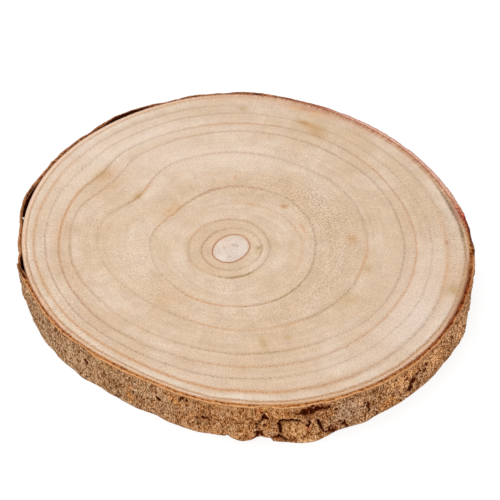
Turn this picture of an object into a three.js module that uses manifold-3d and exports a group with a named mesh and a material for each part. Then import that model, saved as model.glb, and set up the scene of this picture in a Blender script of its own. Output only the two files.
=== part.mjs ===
// Wood slice: a sawn cross-section of a young trunk with its bark still on.
// Millimetres, +Z up. The underside is at Z = 0 and the slice is centred on the Z axis.
// Angles are in degrees around the pith, from +X towards +Y.
import * as THREE from 'three';
import Module from 'manifold-3d';

// Driving dimensions
const SLICE_THICKNESS = 29.5;
// From the pith to the edge of the wood, and the bark on it, at equal steps round the trunk
const WOOD_RADII = [155, 153.8, 154, 156.8, 151.8, 145.5, 135.5, 126.3, 120, 129, 141, 150.5];
const BARK_THICKNESSES = [3.3, 2.8, 2.9, 2.4, 2.3, 2.8, 2.6, 2.3, 3, 4, 4.1, 3.2];
const BARK_CLEARANCE = 0.3;
const LEAST_BARK = 1.2;

// Stretches where the dried bark stands off the wood: middle, half width and gap at the top edge
const LIFTS = [
  { at: 120, half: 12, gap: 3.4 },
  { at: 162.5, half: 12, gap: 2.8 },
  { at: 186, half: 5.5, gap: 3 },
];
const LIFT_LEFT_AT_BOTTOM = 0.4;
const THINNING_BY_LIFT = 0.3;

// Tears through the bark, down from the top edge
const TEARS = [{ at: 184.6, half: 1, depth: 10 }];
// Chips out of the bark's bottom edge
const CHIPS = [
  { at: 269.6, half: 0.9, depth: 2.6 },
  { at: 277.6, half: 2, depth: 1.6 },
  { at: 24, half: 2.5, depth: 1.8 },
  { at: 142, half: 2, depth: 2.2 },
];

// Broad swellings (out) and hollows (negative) of the outer face: middle, half width,
// height of the middle, half height, and how far the bark moves there
const SWELLINGS = [
  { at: 273, half: 3.6, height: 0, halfHeight: 24, out: 1.9 },
  { at: 279, half: 3.4, height: 14, halfHeight: 60, out: -2 },
  { at: 290, half: 5, height: 22, halfHeight: 5, out: -2.2 },
  { at: 340, half: 17, height: 4, halfHeight: 26, out: 1.3 },
  { at: 319.5, half: 3.5, height: 13.5, halfHeight: 9, out: -1 },
  { at: 36, half: 6, height: 2, halfHeight: 18, out: 1.3 },
  { at: 62, half: 4, height: 18, halfHeight: 9, out: -1 },
  { at: 96, half: 8, height: 4, halfHeight: 20, out: 1.2 },
  { at: 205, half: 9, height: 8, halfHeight: 16, out: 0.8 },
  { at: 192, half: 6, height: 26, halfHeight: 24, out: 1.4 },
];

// The loose flake at the front, which curls outwards at its foot
const FLAKE = { left: 282.6, crest: 288.5, right: 299, lipLeft: 280.7, lipHeight: 5, top: 19.4, out: 4.6 };
const FLAKE_EDGE = { fade: 0.4, share: 0.5 };

// Cracks on the bark: angle, height and width along each
const CRACKS = [
  [
    [282.6, 6, 1], [282.7, 13.5, 1.8], [282.8, 18.6, 2.2],
    [284.8, 19.7, 2.2], [286.6, 20.2, 1.6], [289, 19, 0.6],
  ],
  [[291.8, 17, 0.8], [292.6, 12, 2], [293.6, 5, 0.8]],
  [[277.2, 10.5, 0.4], [278, 14.5, 1.2], [278.8, 19.5, 1.4], [278.4, 24.5, 0.4]],
  [[318.6, 7, 0.4], [318, 12, 1.1], [318.9, 18, 0.4]],
  [[61, 14, 0.4], [61.8, 19, 1.3], [61.2, 24, 0.4]],
  [[97, 1.5, 0.5], [96.4, 9, 1.2], [97.2, 17, 0.4]],
];
const CRACK_FLOOR_NARROWING = 0.4;
const CRACK_REACH = 12;

// Grain of the bark: upright ridges and rougher plates, with a frayed top edge
const RIDGES = { cells: 110, cellHeight: 24, out: 0.5 };
const PLATES = { cells: 58, cellHeight: 10, out: 0.6 };
const FRAY = { cells: 90, depth: 0.5 };
const SCATTER = { column: 127.1, row: 311.7, spread: 43758.5 };

// Fineness of the solids
const WOOD_SIDES = 180;
const BARK_COLUMNS = 240;
const BARK_ROWS = 9;
const FINE_STEP = 0.5;
const FINE_STRETCHES = [[183, 186], [280, 295]];

const FULL_TURN = 360;

// Smooth closed curve through values at equal steps round the trunk
function around(values, angle) {
  const count = values.length;
  const place = (THREE.MathUtils.euclideanModulo(angle, FULL_TURN) / FULL_TURN) * count;
  const index = Math.floor(place);
  const at = (offset) => values[(index + offset + count) % count];
  const between = place - index;
  const slopeIn = (at(1) - at(-1)) / 2;
  const slopeOut = (at(2) - at(0)) / 2;
  const rise = at(1) - at(0);
  const square = 3 * rise - 2 * slopeIn - slopeOut;
  const cube = slopeIn + slopeOut - 2 * rise;
  return at(0) + between * (slopeIn + between * (square + between * cube));
}

function angleFrom(angle, middle) {
  return THREE.MathUtils.euclideanModulo(angle - middle + FULL_TURN / 2, FULL_TURN) - FULL_TURN / 2;
}

// One at zero distance, falling smoothly to zero at the half width
function bump(distance, halfWidth) {
  const share = Math.min(Math.abs(distance) / halfWidth, 1);
  return (1 + Math.cos(Math.PI * share)) / 2;
}

// Repeatable value from -1 to 1 for each cell of the bark
function cellValue(column, row) {
  const wave = Math.sin(column * SCATTER.column + row * SCATTER.row) * SCATTER.spread;
  return 2 * (wave - Math.floor(wave)) - 1;
}

function barkNoise(angle, height, cells, cellHeight) {
  const across = (THREE.MathUtils.euclideanModulo(angle, FULL_TURN) / FULL_TURN) * cells;
  const up = height / cellHeight;
  const column = Math.floor(across);
  const row = Math.floor(up);
  const shareAcross = THREE.MathUtils.smoothstep(across - column, 0, 1);
  const shareUp = THREE.MathUtils.smoothstep(up - row, 0, 1);
  const atRow = (level) =>
    THREE.MathUtils.lerp(cellValue(column, level), cellValue((column + 1) % cells, level), shareAcross);
  return THREE.MathUtils.lerp(atRow(row), atRow(row + 1), shareUp);
}

// Outline of the wood and the two faces of the bark
function liftShare(angle) {
  return Math.max(...LIFTS.map(({ at, half }) => bump(angleFrom(angle, at), half)));
}

function barkInner(angle, height) {
  const gap = LIFTS.reduce((sum, lift) => sum + lift.gap * bump(angleFrom(angle, lift.at), lift.half), 0);
  const share = THREE.MathUtils.lerp(LIFT_LEFT_AT_BOTTOM, 1, height / SLICE_THICKNESS);
  return around(WOOD_RADII, angle) + BARK_CLEARANCE + gap * share;
}

function swelling(angle, height) {
  return SWELLINGS.reduce((sum, { at, half, height: middle, halfHeight, out }) =>
    sum + out * bump(angleFrom(angle, at), half) * bump(height - middle, halfHeight), 0);
}

function flake(angle, height) {
  if (height >= FLAKE.top) {
    return 0;
  }
  const lip = Math.min(height / FLAKE.lipHeight, 1);
  const left = THREE.MathUtils.lerp(FLAKE.lipLeft, FLAKE.left, lip);
  const edge = THREE.MathUtils.smoothstep(angle - left, 0, FLAKE_EDGE.fade);
  const rise = THREE.MathUtils.smoothstep(angle, left, FLAKE.crest);
  const fall = bump(Math.max(angle - FLAKE.crest, 0), FLAKE.right - FLAKE.crest);
  const across = edge * fall * THREE.MathUtils.lerp(FLAKE_EDGE.share, 1, rise);
  return FLAKE.out * across * (1 - height / FLAKE.top);
}

function barkOuter(angle, height) {
  const thickness = around(BARK_THICKNESSES, angle) * (1 - THINNING_BY_LIFT * liftShare(angle));
  const ridges = RIDGES.out * barkNoise(angle, height, RIDGES.cells, RIDGES.cellHeight);
  const plates = PLATES.out * barkNoise(angle, height, PLATES.cells, PLATES.cellHeight);
  const relief = ridges + plates + swelling(angle, height) + flake(angle, height);
  return barkInner(angle, height) - BARK_CLEARANCE + Math.max(thickness + relief, LEAST_BARK);
}

function barkTop(angle) {
  const fray = FRAY.depth * Math.abs(barkNoise(angle, 0, FRAY.cells, SLICE_THICKNESS));
  const tear = TEARS.reduce((sum, { at, half, depth }) => sum + depth * bump(angleFrom(angle, at), half), 0);
  return SLICE_THICKNESS - fray - tear;
}

function barkBottom(angle) {
  return CHIPS.reduce((sum, { at, half, depth }) => sum + depth * bump(angleFrom(angle, at), half), 0);
}

function pointAt(angle, radius, height) {
  const turn = THREE.MathUtils.degToRad(angle);
  return new THREE.Vector3(radius * Math.cos(turn), radius * Math.sin(turn), height);
}

// The sawn wood is a flat disc with the trunk's own outline
function woodGeometry() {
  const outline = [];
  for (let side = 0; side < WOOD_SIDES; side += 1) {
    const angle = (side / WOOD_SIDES) * FULL_TURN;
    const corner = pointAt(angle, around(WOOD_RADII, angle), 0);
    outline.push(new THREE.Vector2(corner.x, corner.y));
  }
  return new THREE.ExtrudeGeometry(new THREE.Shape(outline), { depth: SLICE_THICKNESS, bevelEnabled: false });
}

// Even columns round the bark, closer together where it is torn or cracked
function columnAngles() {
  const angles = [];
  const inside = (angle) =>
    FINE_STRETCHES.some(([start, end]) => angle > start - FINE_STEP && angle < end + FINE_STEP);
  for (let column = 0; column < BARK_COLUMNS; column += 1) {
    const angle = (column / BARK_COLUMNS) * FULL_TURN;
    if (!inside(angle)) {
      angles.push(angle);
    }
  }
  FINE_STRETCHES.forEach(([start, end]) => {
    for (let angle = start; angle <= end; angle += FINE_STEP) {
      angles.push(angle);
    }
  });
  return angles.sort((first, second) => first - second);
}

// One upright section of the bark: inner foot, outer face from foot to top, inner top
function barkSection(angle) {
  const bottom = barkBottom(angle);
  const top = barkTop(angle);
  const section = [pointAt(angle, barkInner(angle, bottom), bottom)];
  for (let row = 0; row <= BARK_ROWS; row += 1) {
    const height = THREE.MathUtils.lerp(bottom, top, row / BARK_ROWS);
    section.push(pointAt(angle, barkOuter(angle, height), height));
  }
  section.push(pointAt(angle, barkInner(angle, top), top));
  return section;
}

// Joins rings of points, each closed on itself, into a geometry; the rings close into a loop or get ends
function loftGeometry(rings, closed) {
  const size = rings[0].length;
  const index = [];
  const joins = closed ? rings.length : rings.length - 1;
  for (let ring = 0; ring < joins; ring += 1) {
    const next = (ring + 1) % rings.length;
    for (let point = 0; point < size; point += 1) {
      const follow = (point + 1) % size;
      const corners = [ring * size + point, next * size + point, next * size + follow, ring * size + follow];
      index.push(corners[0], corners[1], corners[2], corners[0], corners[2], corners[3]);
    }
  }
  if (!closed) {
    const last = (rings.length - 1) * size;
    for (let point = 1; point < size - 1; point += 1) {
      index.push(0, point, point + 1);
      index.push(last, last + point + 1, last + point);
    }
  }
  const geometry = new THREE.BufferGeometry().setFromPoints(rings.flat());
  geometry.setIndex(index);
  return geometry;
}

// A wedge along one crack, wide outside the bark and narrow at the crack's floor
function crackGeometry(crack) {
  const rings = crack.map(([angle, height, width], place) => {
    const before = crack[Math.max(place - 1, 0)];
    const after = crack[Math.min(place + 1, crack.length - 1)];
    const radius = barkInner(angle, height) + LEAST_BARK;
    const arc = THREE.MathUtils.degToRad(after[0] - before[0]) * radius;
    const along = new THREE.Vector2(arc, after[1] - before[1]).normalize();
    const beside = (share, reach) => {
      const turn = THREE.MathUtils.radToDeg((along.y * width * share) / radius);
      return pointAt(angle + turn, radius + reach, height - along.x * width * share);
    };
    const floor = CRACK_FLOOR_NARROWING / 2;
    return [beside(-floor, 0), beside(floor, 0), beside(0.5, CRACK_REACH), beside(-0.5, CRACK_REACH)];
  });
  return loftGeometry(rings, false);
}

const wasm = await Module();
wasm.setup();

function solidOf(geometry) {
  const vertProperties = new Float32Array(geometry.getAttribute('position').array);
  const triVerts = new Uint32Array(geometry.getIndex().array);
  return new wasm.Manifold(new wasm.Mesh({ numProp: 3, vertProperties, triVerts }));
}

function geometryOf(solid) {
  const { vertProperties, triVerts } = solid.getMesh();
  const geometry = new THREE.BufferGeometry();
  geometry.setAttribute('position', new THREE.BufferAttribute(vertProperties, 3));
  geometry.setIndex(new THREE.BufferAttribute(triVerts, 1));
  return geometry;
}

// The bark is one ring round the wood, with the cracks cut into it
function barkGeometry() {
  const ring = solidOf(loftGeometry(columnAngles().map(barkSection), true));
  const cracked = CRACKS.reduce((bark, crack) => bark.subtract(solidOf(crackGeometry(crack))), ring);
  return geometryOf(cracked);
}

function addMesh(parent, name, geometry, material) {
  geometry.computeVertexNormals();
  const mesh = new THREE.Mesh(geometry, new THREE.MeshStandardMaterial(material));
  mesh.name = name;
  parent.add(mesh);
}

const slice = new THREE.Group();
addMesh(slice, 'wood_disc', woodGeometry(), { color: 0xe2c8ac, roughness: 0.7, metalness: 0 });
addMesh(slice, 'bark_ring', barkGeometry(), { color: 0x8a6a49, roughness: 0.95, metalness: 0 });

// The pith is off centre, so the slice moves to put the middle of its box on the Z axis
const middle = new THREE.Box3().setFromObject(slice).getCenter(new THREE.Vector3());
slice.position.set(-middle.x, -middle.y, 0);

export default slice;
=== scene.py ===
"""Wood slice: sawn wood with its growth rings, and thin fibrous bark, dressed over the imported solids."""
import math

import bpy
import numpy as np
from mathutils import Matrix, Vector


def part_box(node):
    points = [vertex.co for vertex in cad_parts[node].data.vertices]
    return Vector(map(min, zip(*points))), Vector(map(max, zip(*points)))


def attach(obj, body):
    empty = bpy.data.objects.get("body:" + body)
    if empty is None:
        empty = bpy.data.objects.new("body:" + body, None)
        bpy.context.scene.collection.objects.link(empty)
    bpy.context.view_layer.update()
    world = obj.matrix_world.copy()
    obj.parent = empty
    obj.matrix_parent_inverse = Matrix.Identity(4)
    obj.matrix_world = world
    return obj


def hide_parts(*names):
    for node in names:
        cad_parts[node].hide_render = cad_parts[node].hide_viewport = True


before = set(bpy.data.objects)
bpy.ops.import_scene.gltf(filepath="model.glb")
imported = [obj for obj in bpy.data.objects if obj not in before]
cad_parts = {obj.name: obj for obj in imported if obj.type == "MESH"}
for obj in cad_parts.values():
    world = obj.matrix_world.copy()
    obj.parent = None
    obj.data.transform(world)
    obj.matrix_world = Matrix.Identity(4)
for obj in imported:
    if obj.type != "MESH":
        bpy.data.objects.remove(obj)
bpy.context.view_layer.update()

# Lengths are in millimetres, heights from the underside, angles in degrees round the pith from +X to +Y,
# colours sRGB as 0xRRGGBB, and a row of twelve values stands at equal steps round the trunk
MM = 0.001
TURN = 360.0
SEED = 7

# Camera, fitted to a square picture
PICTURE_PIXELS = 500
FOCAL_PIXELS = 1600
SENSOR_WIDTH = 36.0
CAMERA_ELEVATION = 45.0
CAMERA_DISTANCE = 1038.0
AIM_FROM_PITH = (12.67, -1.84)

# Floor and lamps, in metres and watts: the lamps' places, sizes and powers
FLOOR = dict(half=4.0, level=-0.0003, greys=(0.19, 0.21), glow=0.83)
SKY = dict(colour=(0.985, 0.99, 1.0, 1), strength=0.56)
LAMPS = dict(overhead=((-0.4, 0.1, 1.4), 1.0, 14.0), front=((0.4, -1.4, 0.9), 1.0, 8.0))

# Outline of the wood and the bark on it
WOOD_RADII = (155, 153.8, 154, 156.8, 151.8, 145.5, 135.5, 126.3, 120, 129, 141, 150.5)
BARK_THICKNESSES = (3.3, 2.8, 2.9, 2.4, 2.3, 2.8, 2.6, 2.3, 3, 4, 4.1, 3.2)
BARK_CLEARANCE = 0.08
LEAST_BARK = 1.0

# Tints of the lines that end each year's growth, how far a line fades inwards and outwards, and its grain
GREY, BROWN, ORANGE = 0x96765A, 0xA67042, 0xC48244
OLIVE, RED, SLATE = 0x987434, 0xA05C3E, 0x72583A
LINE_FADE = (2.4, 1.9)
LINE_GRAIN = 2.8
LINE_START = 2.5
# The pith: radii, its edge's tint and boldness at places round it, and how it is a little sunken
PITH_RADII = (12.3, 13.2, 13.5, 12.3, 10.9, 10.4, 11.3, 13, 13.7, 13.2, 11.8, 11.3)
PITH_INK = ((0, RED, 0.8), (60, RED, 0.65), (110, RED, 0.7), (165, RED, 0.95), (215, BROWN, 0.8),
            (280, RED, 1), (330, RED, 0.75))
PITH_DEPTH = 0.25
PITH_SLOPE = 1.2
# Growth rings: radii, depth and half width of the dent at the flute, how far the dark zone fades inwards and
# outwards, and the line's tint and boldness at places round it
FLUTE_AT = 142
RINGS = (
    ((20.3, 20.1, 19.1, 18.4, 17.9, 17.5, 18.7, 19.6, 20.3, 20.5, 20.3, 20.3), (0, 1), (1.2, 0.8),
     ((0, OLIVE, 0.6), (30, GREY, 0.45), (62, RED, 0.35), (100, GREY, 0.42), (135, OLIVE, 0.55),
      (180, OLIVE, 0.5), (212, OLIVE, 0.55), (245, OLIVE, 0.5), (275, GREY, 0.45), (305, GREY, 0.25),
      (345, OLIVE, 0.5))),
    ((25.3, 25.5, 26.2, 26.9, 26.9, 27.2, 27.9, 28.1, 27.2, 26.9, 26.4, 25), (0, 1), (2, 1.4),
     ((30, GREY, 0.45), (68, OLIVE, 0.4), (88, RED, 0.45), (115, OLIVE, 0.42), (145, ORANGE, 0.5),
      (175, OLIVE, 0.35), (202, BROWN, 0.4), (235, GREY, 0.2), (262, OLIVE, 0.6), (280, OLIVE, 0.95),
      (297, OLIVE, 0.9), (310, GREY, 0.5), (340, GREY, 0.45))),
    ((47, 46, 45, 42.5, 40, 39, 40, 40, 41, 43.5, 45, 46.5), (2, 30), (3, 2.4),
     ((5, ORANGE, 0.3), (21, ORANGE, 0.45), (35, ORANGE, 0.15), (72, ORANGE, 0.3), (95, OLIVE, 0.15),
      (125, OLIVE, 0), (320, ORANGE, 0), (352, ORANGE, 0.35))),
    ((54.8, 58.1, 60, 59, 53.2, 53.2, 52.4, 49.3, 50.2, 51.7, 54.5, 55), (2.8, 30), (1.6, 1.6),
     ((12, GREY, 0.45), (45, GREY, 0.3), (75, RED, 0.45), (98, RED, 0.5), (125, OLIVE, 0.55),
      (137, ORANGE, 0.65), (150, ORANGE, 0.5), (165, OLIVE, 0.5), (178, GREY, 0.25), (195, GREY, 0.25),
      (212, RED, 0.3), (226, OLIVE, 0.45), (242, ORANGE, 0.65), (265, ORANGE, 0.65), (290, BROWN, 0.7),
      (315, OLIVE, 0.7), (335, OLIVE, 0.55), (352, GREY, 0.45))),
    ((89, 93, 92.6, 93.8, 91, 90.8, 86.6, 74, 67.9, 71.5, 76.7, 83.3), (12, 26), (2.6, 2),
     ((2, ORANGE, 0.4), (15, GREY, 0.3), (60, GREY, 0.32), (85, RED, 0.35), (108, RED, 0.25),
      (126, GREY, 0.4), (136, ORANGE, 0.6), (142, OLIVE, 0.7), (149, BROWN, 0.5), (158, GREY, 0.15),
      (185, GREY, 0.2), (206, ORANGE, 0.35), (220, GREY, 0.3), (235, OLIVE, 0.3), (262, ORANGE, 0.5),
      (282, ORANGE, 0.2), (300, ORANGE, 0.5), (309, OLIVE, 0.55), (330, OLIVE, 0.45), (350, ORANGE, 0.5))),
    ((113, 115.2, 116, 116, 112.3, 109, 105, 94.2, 88.2, 90.8, 97.3, 108), (7.5, 20), (1.8, 1.4),
     ((20, GREY, 0.4), (60, GREY, 0.4), (85, GREY, 0.25), (102, BROWN, 0.35), (122, GREY, 0.3),
      (138, BROWN, 0.35), (150, BROWN, 0.5), (168, BROWN, 0.35), (181, OLIVE, 0.5), (195, BROWN, 0.35),
      (212, GREY, 0.2), (230, ORANGE, 0.35), (248, OLIVE, 0.35), (265, BROWN, 0.4), (284, OLIVE, 0.5),
      (296, OLIVE, 0.42), (308, GREY, 0.3), (325, BROWN, 0.35), (345, GREY, 0.4))),
    ((120.6, 122.5, 125.3, 124.2, 121, 116.2, 111.8, 104.6, 98.5, 101, 109.2, 115), (3.3, 13), (1.8, 1.2),
     ((2, ORANGE, 0.5), (20, BROWN, 0.5), (38, ORANGE, 0.55), (58, GREY, 0.45), (72, BROWN, 0.4),
      (95, ORANGE, 0.5), (118, GREY, 0.38), (130, GREY, 0.35), (141, OLIVE, 0.6), (155, ORANGE, 0.75),
      (175, ORANGE, 0.75), (190, BROWN, 0.6), (207, RED, 0.5), (230, OLIVE, 0.5), (250, GREY, 0.38),
      (272, ORANGE, 0.5), (300, BROWN, 0.38), (330, ORANGE, 0.5), (350, ORANGE, 0.55))),
    ((131, 131.7, 133.4, 135.8, 132, 127.8, 120.6, 111.8, 106, 110.6, 118.2, 126), (1.5, 14), (1.4, 1.2),
     ((10, GREY, 0.15), (32, GREY, 0.35), (65, GREY, 0.15), (100, GREY, 0.4), (130, GREY, 0.2),
      (160, GREY, 0.35), (186, RED, 0.45), (215, GREY, 0.5), (250, GREY, 0.45), (278, BROWN, 0.4),
      (293, GREY, 0.18), (330, GREY, 0.3))),
    ((141, 141.7, 142.8, 144, 140.6, 135.6, 127.9, 118, 112.6, 120.4, 130.1, 137.8), (0, 1), (2.6, 3),
     ((8, GREY, 0.1), (42, GREY, 0.35), (72, GREY, 0.05), (105, GREY, 0.35), (135, GREY, 0.35),
      (145, ORANGE, 0.4), (175, ORANGE, 0.62), (215, ORANGE, 0.65), (260, ORANGE, 0.8), (285, ORANGE, 0.75),
      (310, BROWN, 0.5), (335, GREY, 0.4), (352, ORANGE, 0.35))),
    ((152.3, 150.8, 150.9, 153.6, 148.8, 142.5, 132.8, 123.5, 118.1, 127.3, 138.6, 147.4), (0, 1), (1.2, 1),
     ((2, SLATE, 0.6), (5, SLATE, 1), (9, SLATE, 0.6), (14, SLATE, 1), (20, SLATE, 0.8), (27, GREY, 0.15),
      (90, BROWN, 0.3), (130, OLIVE, 0.35), (180, BROWN, 0.6), (225, BROWN, 0.75), (280, BROWN, 0.75),
      (320, BROWN, 0.75), (350, GREY, 0.5))),
)
RING_RADII, RING_DENTS, RING_FADES, RING_INKS = zip(*RINGS)
# Pith, rings and the wood's edge in one row, and how far the colour ramps run past that edge
EDGE_RADII = (PITH_RADII, *RING_RADII, WOOD_RADII)
EDGE_DENTS = ((0, 1), *RING_DENTS, (0, 1))
MEAN_RADII = [np.mean(radii) for radii in EDGE_RADII]
RAMP_MARGIN = 4

# Soft stains on the sawn face: angle, radius, half angle, half width, colour, strength
WHITE = 0xECDBCB
STAINS = (
    (90, 90, 28, 16, WHITE, 0.5), (114, 95, 18, 14, WHITE, 0.25), (120, 124, 24, 8, WHITE, 0.55),
    (150, 121, 22, 8, WHITE, 0.35), (335, 128, 22, 16, 0xE9D6C9, 0.55), (318, 22, 28, 5, 0xEAD4C2, 0.5),
    (180, 62, 22, 14, 0xE6D1BA, 0.45), (225, 104, 45, 7, 0xCEAA8A, 0.35),
    (222, 118, 30, 2.4, 0xEEDCCA, 0.45), (262, 124.5, 26, 1.8, 0xEEDCCA, 0.45),
    (310, 141, 26, 3, 0xD6B696, 0.4), (40, 62, 26, 12, 0xD4B490, 0.35), (30, 132, 20, 8, 0xD8B896, 0.35),
    (120, 36, 24, 8, 0xD2B28E, 0.3), (20, 18, 40, 5, 0xE6D0B8, 0.4), (2, 141, 0.9, 1.4, 0x844032, 0.9),
    (345, 147, 1.6, 5, 0xB08C4A, 0.7), (64, 133, 4, 4, 0xC49658, 0.7), (68, 135, 2.2, 2.2, 0xB27E3C, 0.7),
    (62, 127, 3, 3, 0xC4985E, 0.6), (50, 140, 14, 5, 0xD6B48C, 0.4), (62, 149.5, 24, 4.5, 0xD5AA8A, 0.6),
    (88, 152, 14, 4, 0xD8AE8A, 0.5), (352, 140.5, 15, 2.2, 0xDCB088, 0.55),
    (350, 150.5, 9, 6, 0xD2A47A, 0.5), (12, 153, 4, 2.6, 0xB87062, 0.65),
    (352, 154.3, 4, 1.5, 0x965628, 0.95), (346, 153.5, 4, 1.6, 0x844216, 1),
    (340, 152.5, 4, 1.5, 0x844216, 1), (334, 151.3, 4, 1.2, 0x8A481C, 0.9),
    (135, 137, 24, 6, 0xECD6C8, 0.35), (120, 106, 14, 8, 0xE8D4C6, 0.3), (215, 117, 14, 4, 0xD6AC84, 0.3),
    (242, 112, 16, 4, 0xD6AC84, 0.3), (272, 120.5, 14, 4, 0xD4AC84, 0.3), (300, 131, 14, 4, 0xD6B08C, 0.25),
    (182, 113, 14, 8, 0xCCAC8E, 0.35), (285, 110, 22, 8, 0xD4B698, 0.3), (135, 32, 30, 14, 0xD0AC8A, 0.3),
    (255, 20, 30, 6, 0xD4B088, 0.3), (30, 62, 20, 10, 0xD8B48A, 0.3), (58, 3.4, 16, 0.9, 0x967868, 0.6),
    (28, 4.6, 14, 1, 0xAA866E, 0.6), (265, 7.4, 7, 0.8, 0xB07C5C, 0.6), (170, 4, 14, 0.8, 0xBE9E86, 0.5),
    (10, 140.5, 9, 2, 0xDEB692, 0.4), (87, 141, 1.2, 2.4, 0xBE9264, 0.6), (69, 149.5, 6, 3, 0xC48A62, 0.6),
    (66, 147, 2.2, 2, 0xECBE8A, 0.5), (72.5, 147.5, 1.6, 2, 0xEEC290, 0.5), (141, 112, 4, 5, 0xC4965C, 0.6),
    (143, 100, 3, 4, 0xCEA876, 0.35), (141.5, 80.2, 3, 2.4, 0xBE9242, 0.65), (328, 87, 4, 6, 0xC4A46E, 0.5),
    (348, 90, 2.2, 3, 0xBC9C60, 0.6), (284, 85, 1.2, 5, 0xB8924E, 0.55), (295, 86, 1.2, 3, 0xBE9A58, 0.5),
    (6, 80, 3.5, 3, 0xCC9864, 0.65), (88, 68, 1.2, 2, 0xD49670, 0.55), (48, 53, 3, 2.2, 0xC08A4C, 0.75),
    (50, 52, 0.8, 0.8, 0x96683C, 0.45), (21, 51, 7, 1.6, 0xD8A074, 0.6), (72, 43, 3, 1.4, 0xD49C6A, 0.6),
    (228, 64, 4, 8, 0xD6B088, 0.45), (137, 54, 9, 3, 0xD4A26C, 0.5), (1, 18.2, 5, 1.3, 0x9C7432, 0.8),
    (350, 17.5, 12, 1.6, 0xBE9E60, 0.5),
)
LEAST_STAIN = 1e-6
# Pores of the wood: angle, radius, half angle, half width, strength; their strength elsewhere, and how far
# they fade at the pith
PORES = (
    (32, 72, 34, 15, 1.3), (335, 68, 35, 14, 0.7), (95, 52, 20, 6, 0.5), (165, 94, 25, 6, 0.5),
    (12, 138, 12, 10, 0.45), (65, 100, 14, 5, 0.55), (265, 36, 30, 8, 0.4), (205, 60, 30, 10, 0.35),
    (205, 112, 34, 16, 0.5), (0, 147, 14, 6, 0.6), (0, 62, 400, 11, 0.3), (195, 129, 30, 7, 0.5),
)
PORES_ELSEWHERE = 0.3
PORES_FADE = 1.0
# Reach of a dark red fringe of fibres at the wood's edge, the least, and the range over which it appears
FRINGE = (0.4, 5.5, 6.5, 3, 1.4, 1, 0.8, 1.3, 0.3, 0.2, 0.4, 2)
FRINGE_LEAST = 0.2
FRINGE_SHOWS = (0.4, 1.2)
# How pale the wood outside the last ring is, and how soon
PALE_EDGE = (0.1, 0, 0, 0.2, 0.9, 1, 0.7, 0.3, 0.1, 0.1, 0.1, 0.3)
PALE_FADE = 0.6
# A splinter of wood that bridges the gap to the lifted bark: place, size, how deep its root and how low its
# top lie, and the share of its size at the tip
SPLINTER = dict(at=168.3, reach=1.9, width=1.1, height=5.0, root=0.5, low=0.15, tip=0.6)
# Its corners run round its root, then round its tip
SPLINTER_FACES = ((0, 1, 2, 3), (7, 6, 5, 4), (0, 4, 5, 1), (1, 5, 6, 2), (2, 6, 7, 3), (3, 7, 4, 0))

# Stretches where the dried bark stands off the wood: middle, half width and gap at the top edge
LIFTS = ((120, 12, 3.4), (162.5, 12, 2.8), (186, 5.5, 3))
LIFT_LEFT_AT_BOTTOM = 0.4
# Share of its thickness that lifted bark loses, and the gaps where it is thinnest and where the painted
# shadow on its inner face, in the gap behind it, is darkest
THINNING_BY_LIFT = 0.3
THINNEST_GAP = 2.7
DARKEST_GAP = 1.5

# Tears down from the bark's top edge, and chips out of its bottom edge: angle, half width, depth
TEARS = ((184.6, 1, 10),)
CHIPS = ((269.6, 0.9, 1.8), (277.6, 2, 1.6), (24, 2.5, 1.8), (142, 2, 2.2))
TEAR_STEEPNESS = 1.5
# Splits in the bark's top face: angle, half width, depth; place and half width across it, and the half width
# and depth of the painted shadow in them
SPLITS = ((189, 3.2, 7), (158, 4, 3))
SPLIT_MIDDLE = 0.5
SPLIT_HALF = 0.3
SPLIT_SHADOW = (0.35, 2)

# Swellings and hollows of the bark's outer face: angle, half width, height, half height, movement
SWELLINGS = (
    (273, 3.6, 0, 24, 1.9), (279, 3.4, 14, 60, -2), (290, 5, 22, 5, -2.2), (340, 17, 4, 26, 1.3),
    (319.5, 3.5, 13.5, 9, -1), (36, 6, 2, 18, 1.3), (62, 4, 18, 9, -1), (96, 8, 4, 20, 1.2),
    (205, 9, 8, 16, 0.4), (192, 6, 26, 24, 1), (354, 12, 6, 40, -0.6),
)
FLAKE = dict(left=282.6, crest=288.5, right=299, lip_left=280.7, lip_height=5, top=19.4, out=4.6)
FLAKE_EDGE = dict(fade=0.4, share=0.4)
# How much more upright the fibres are round the flake: half width and share
FLAKE_FIBRES = (9, 0.45)

# Cracks, dented and painted near black as their own dark bark and painted shade in them: angle, height and
# width along each; how ragged, solid and soft their edges are
CRACKS = (
    ((283.2, 7.4, 0.9), (282.8, 12, 1.6), (282.5, 17.4, 2.4), (283.5, 18.3, 2.9), (285.4, 18.8, 2.5),
     (286.9, 17.8, 1.2), (288.7, 15.4, 0.9)),
    ((281, 1.5, 0.8), (282.8, 5.2, 1.8), (284, 2.6, 0.8), (285, 0.6, 0.4)),
    ((292, 15.4, 1.2), (292.6, 11, 2.2), (293.3, 5.4, 1)),
    ((276.9, 12, 0.4), (278, 15.5, 0.7), (279.1, 20.5, 1.1), (278.6, 24.5, 0.5)),
    ((318.6, 7, 0.8), (318, 12, 1.8), (318.9, 18, 0.8)),
    ((61, 14, 0.8), (61.8, 19, 1.8), (61.2, 24, 0.8)),
    ((97, 1.5, 0.8), (96.4, 9, 1.8), (97.2, 17, 0.8)),
)
CRACK_DEPTH = 2.6
CRACK_EDGE = (0.5, 0.6, 0.35)
CRACK_CELLS = (620, 1.5)
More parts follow.
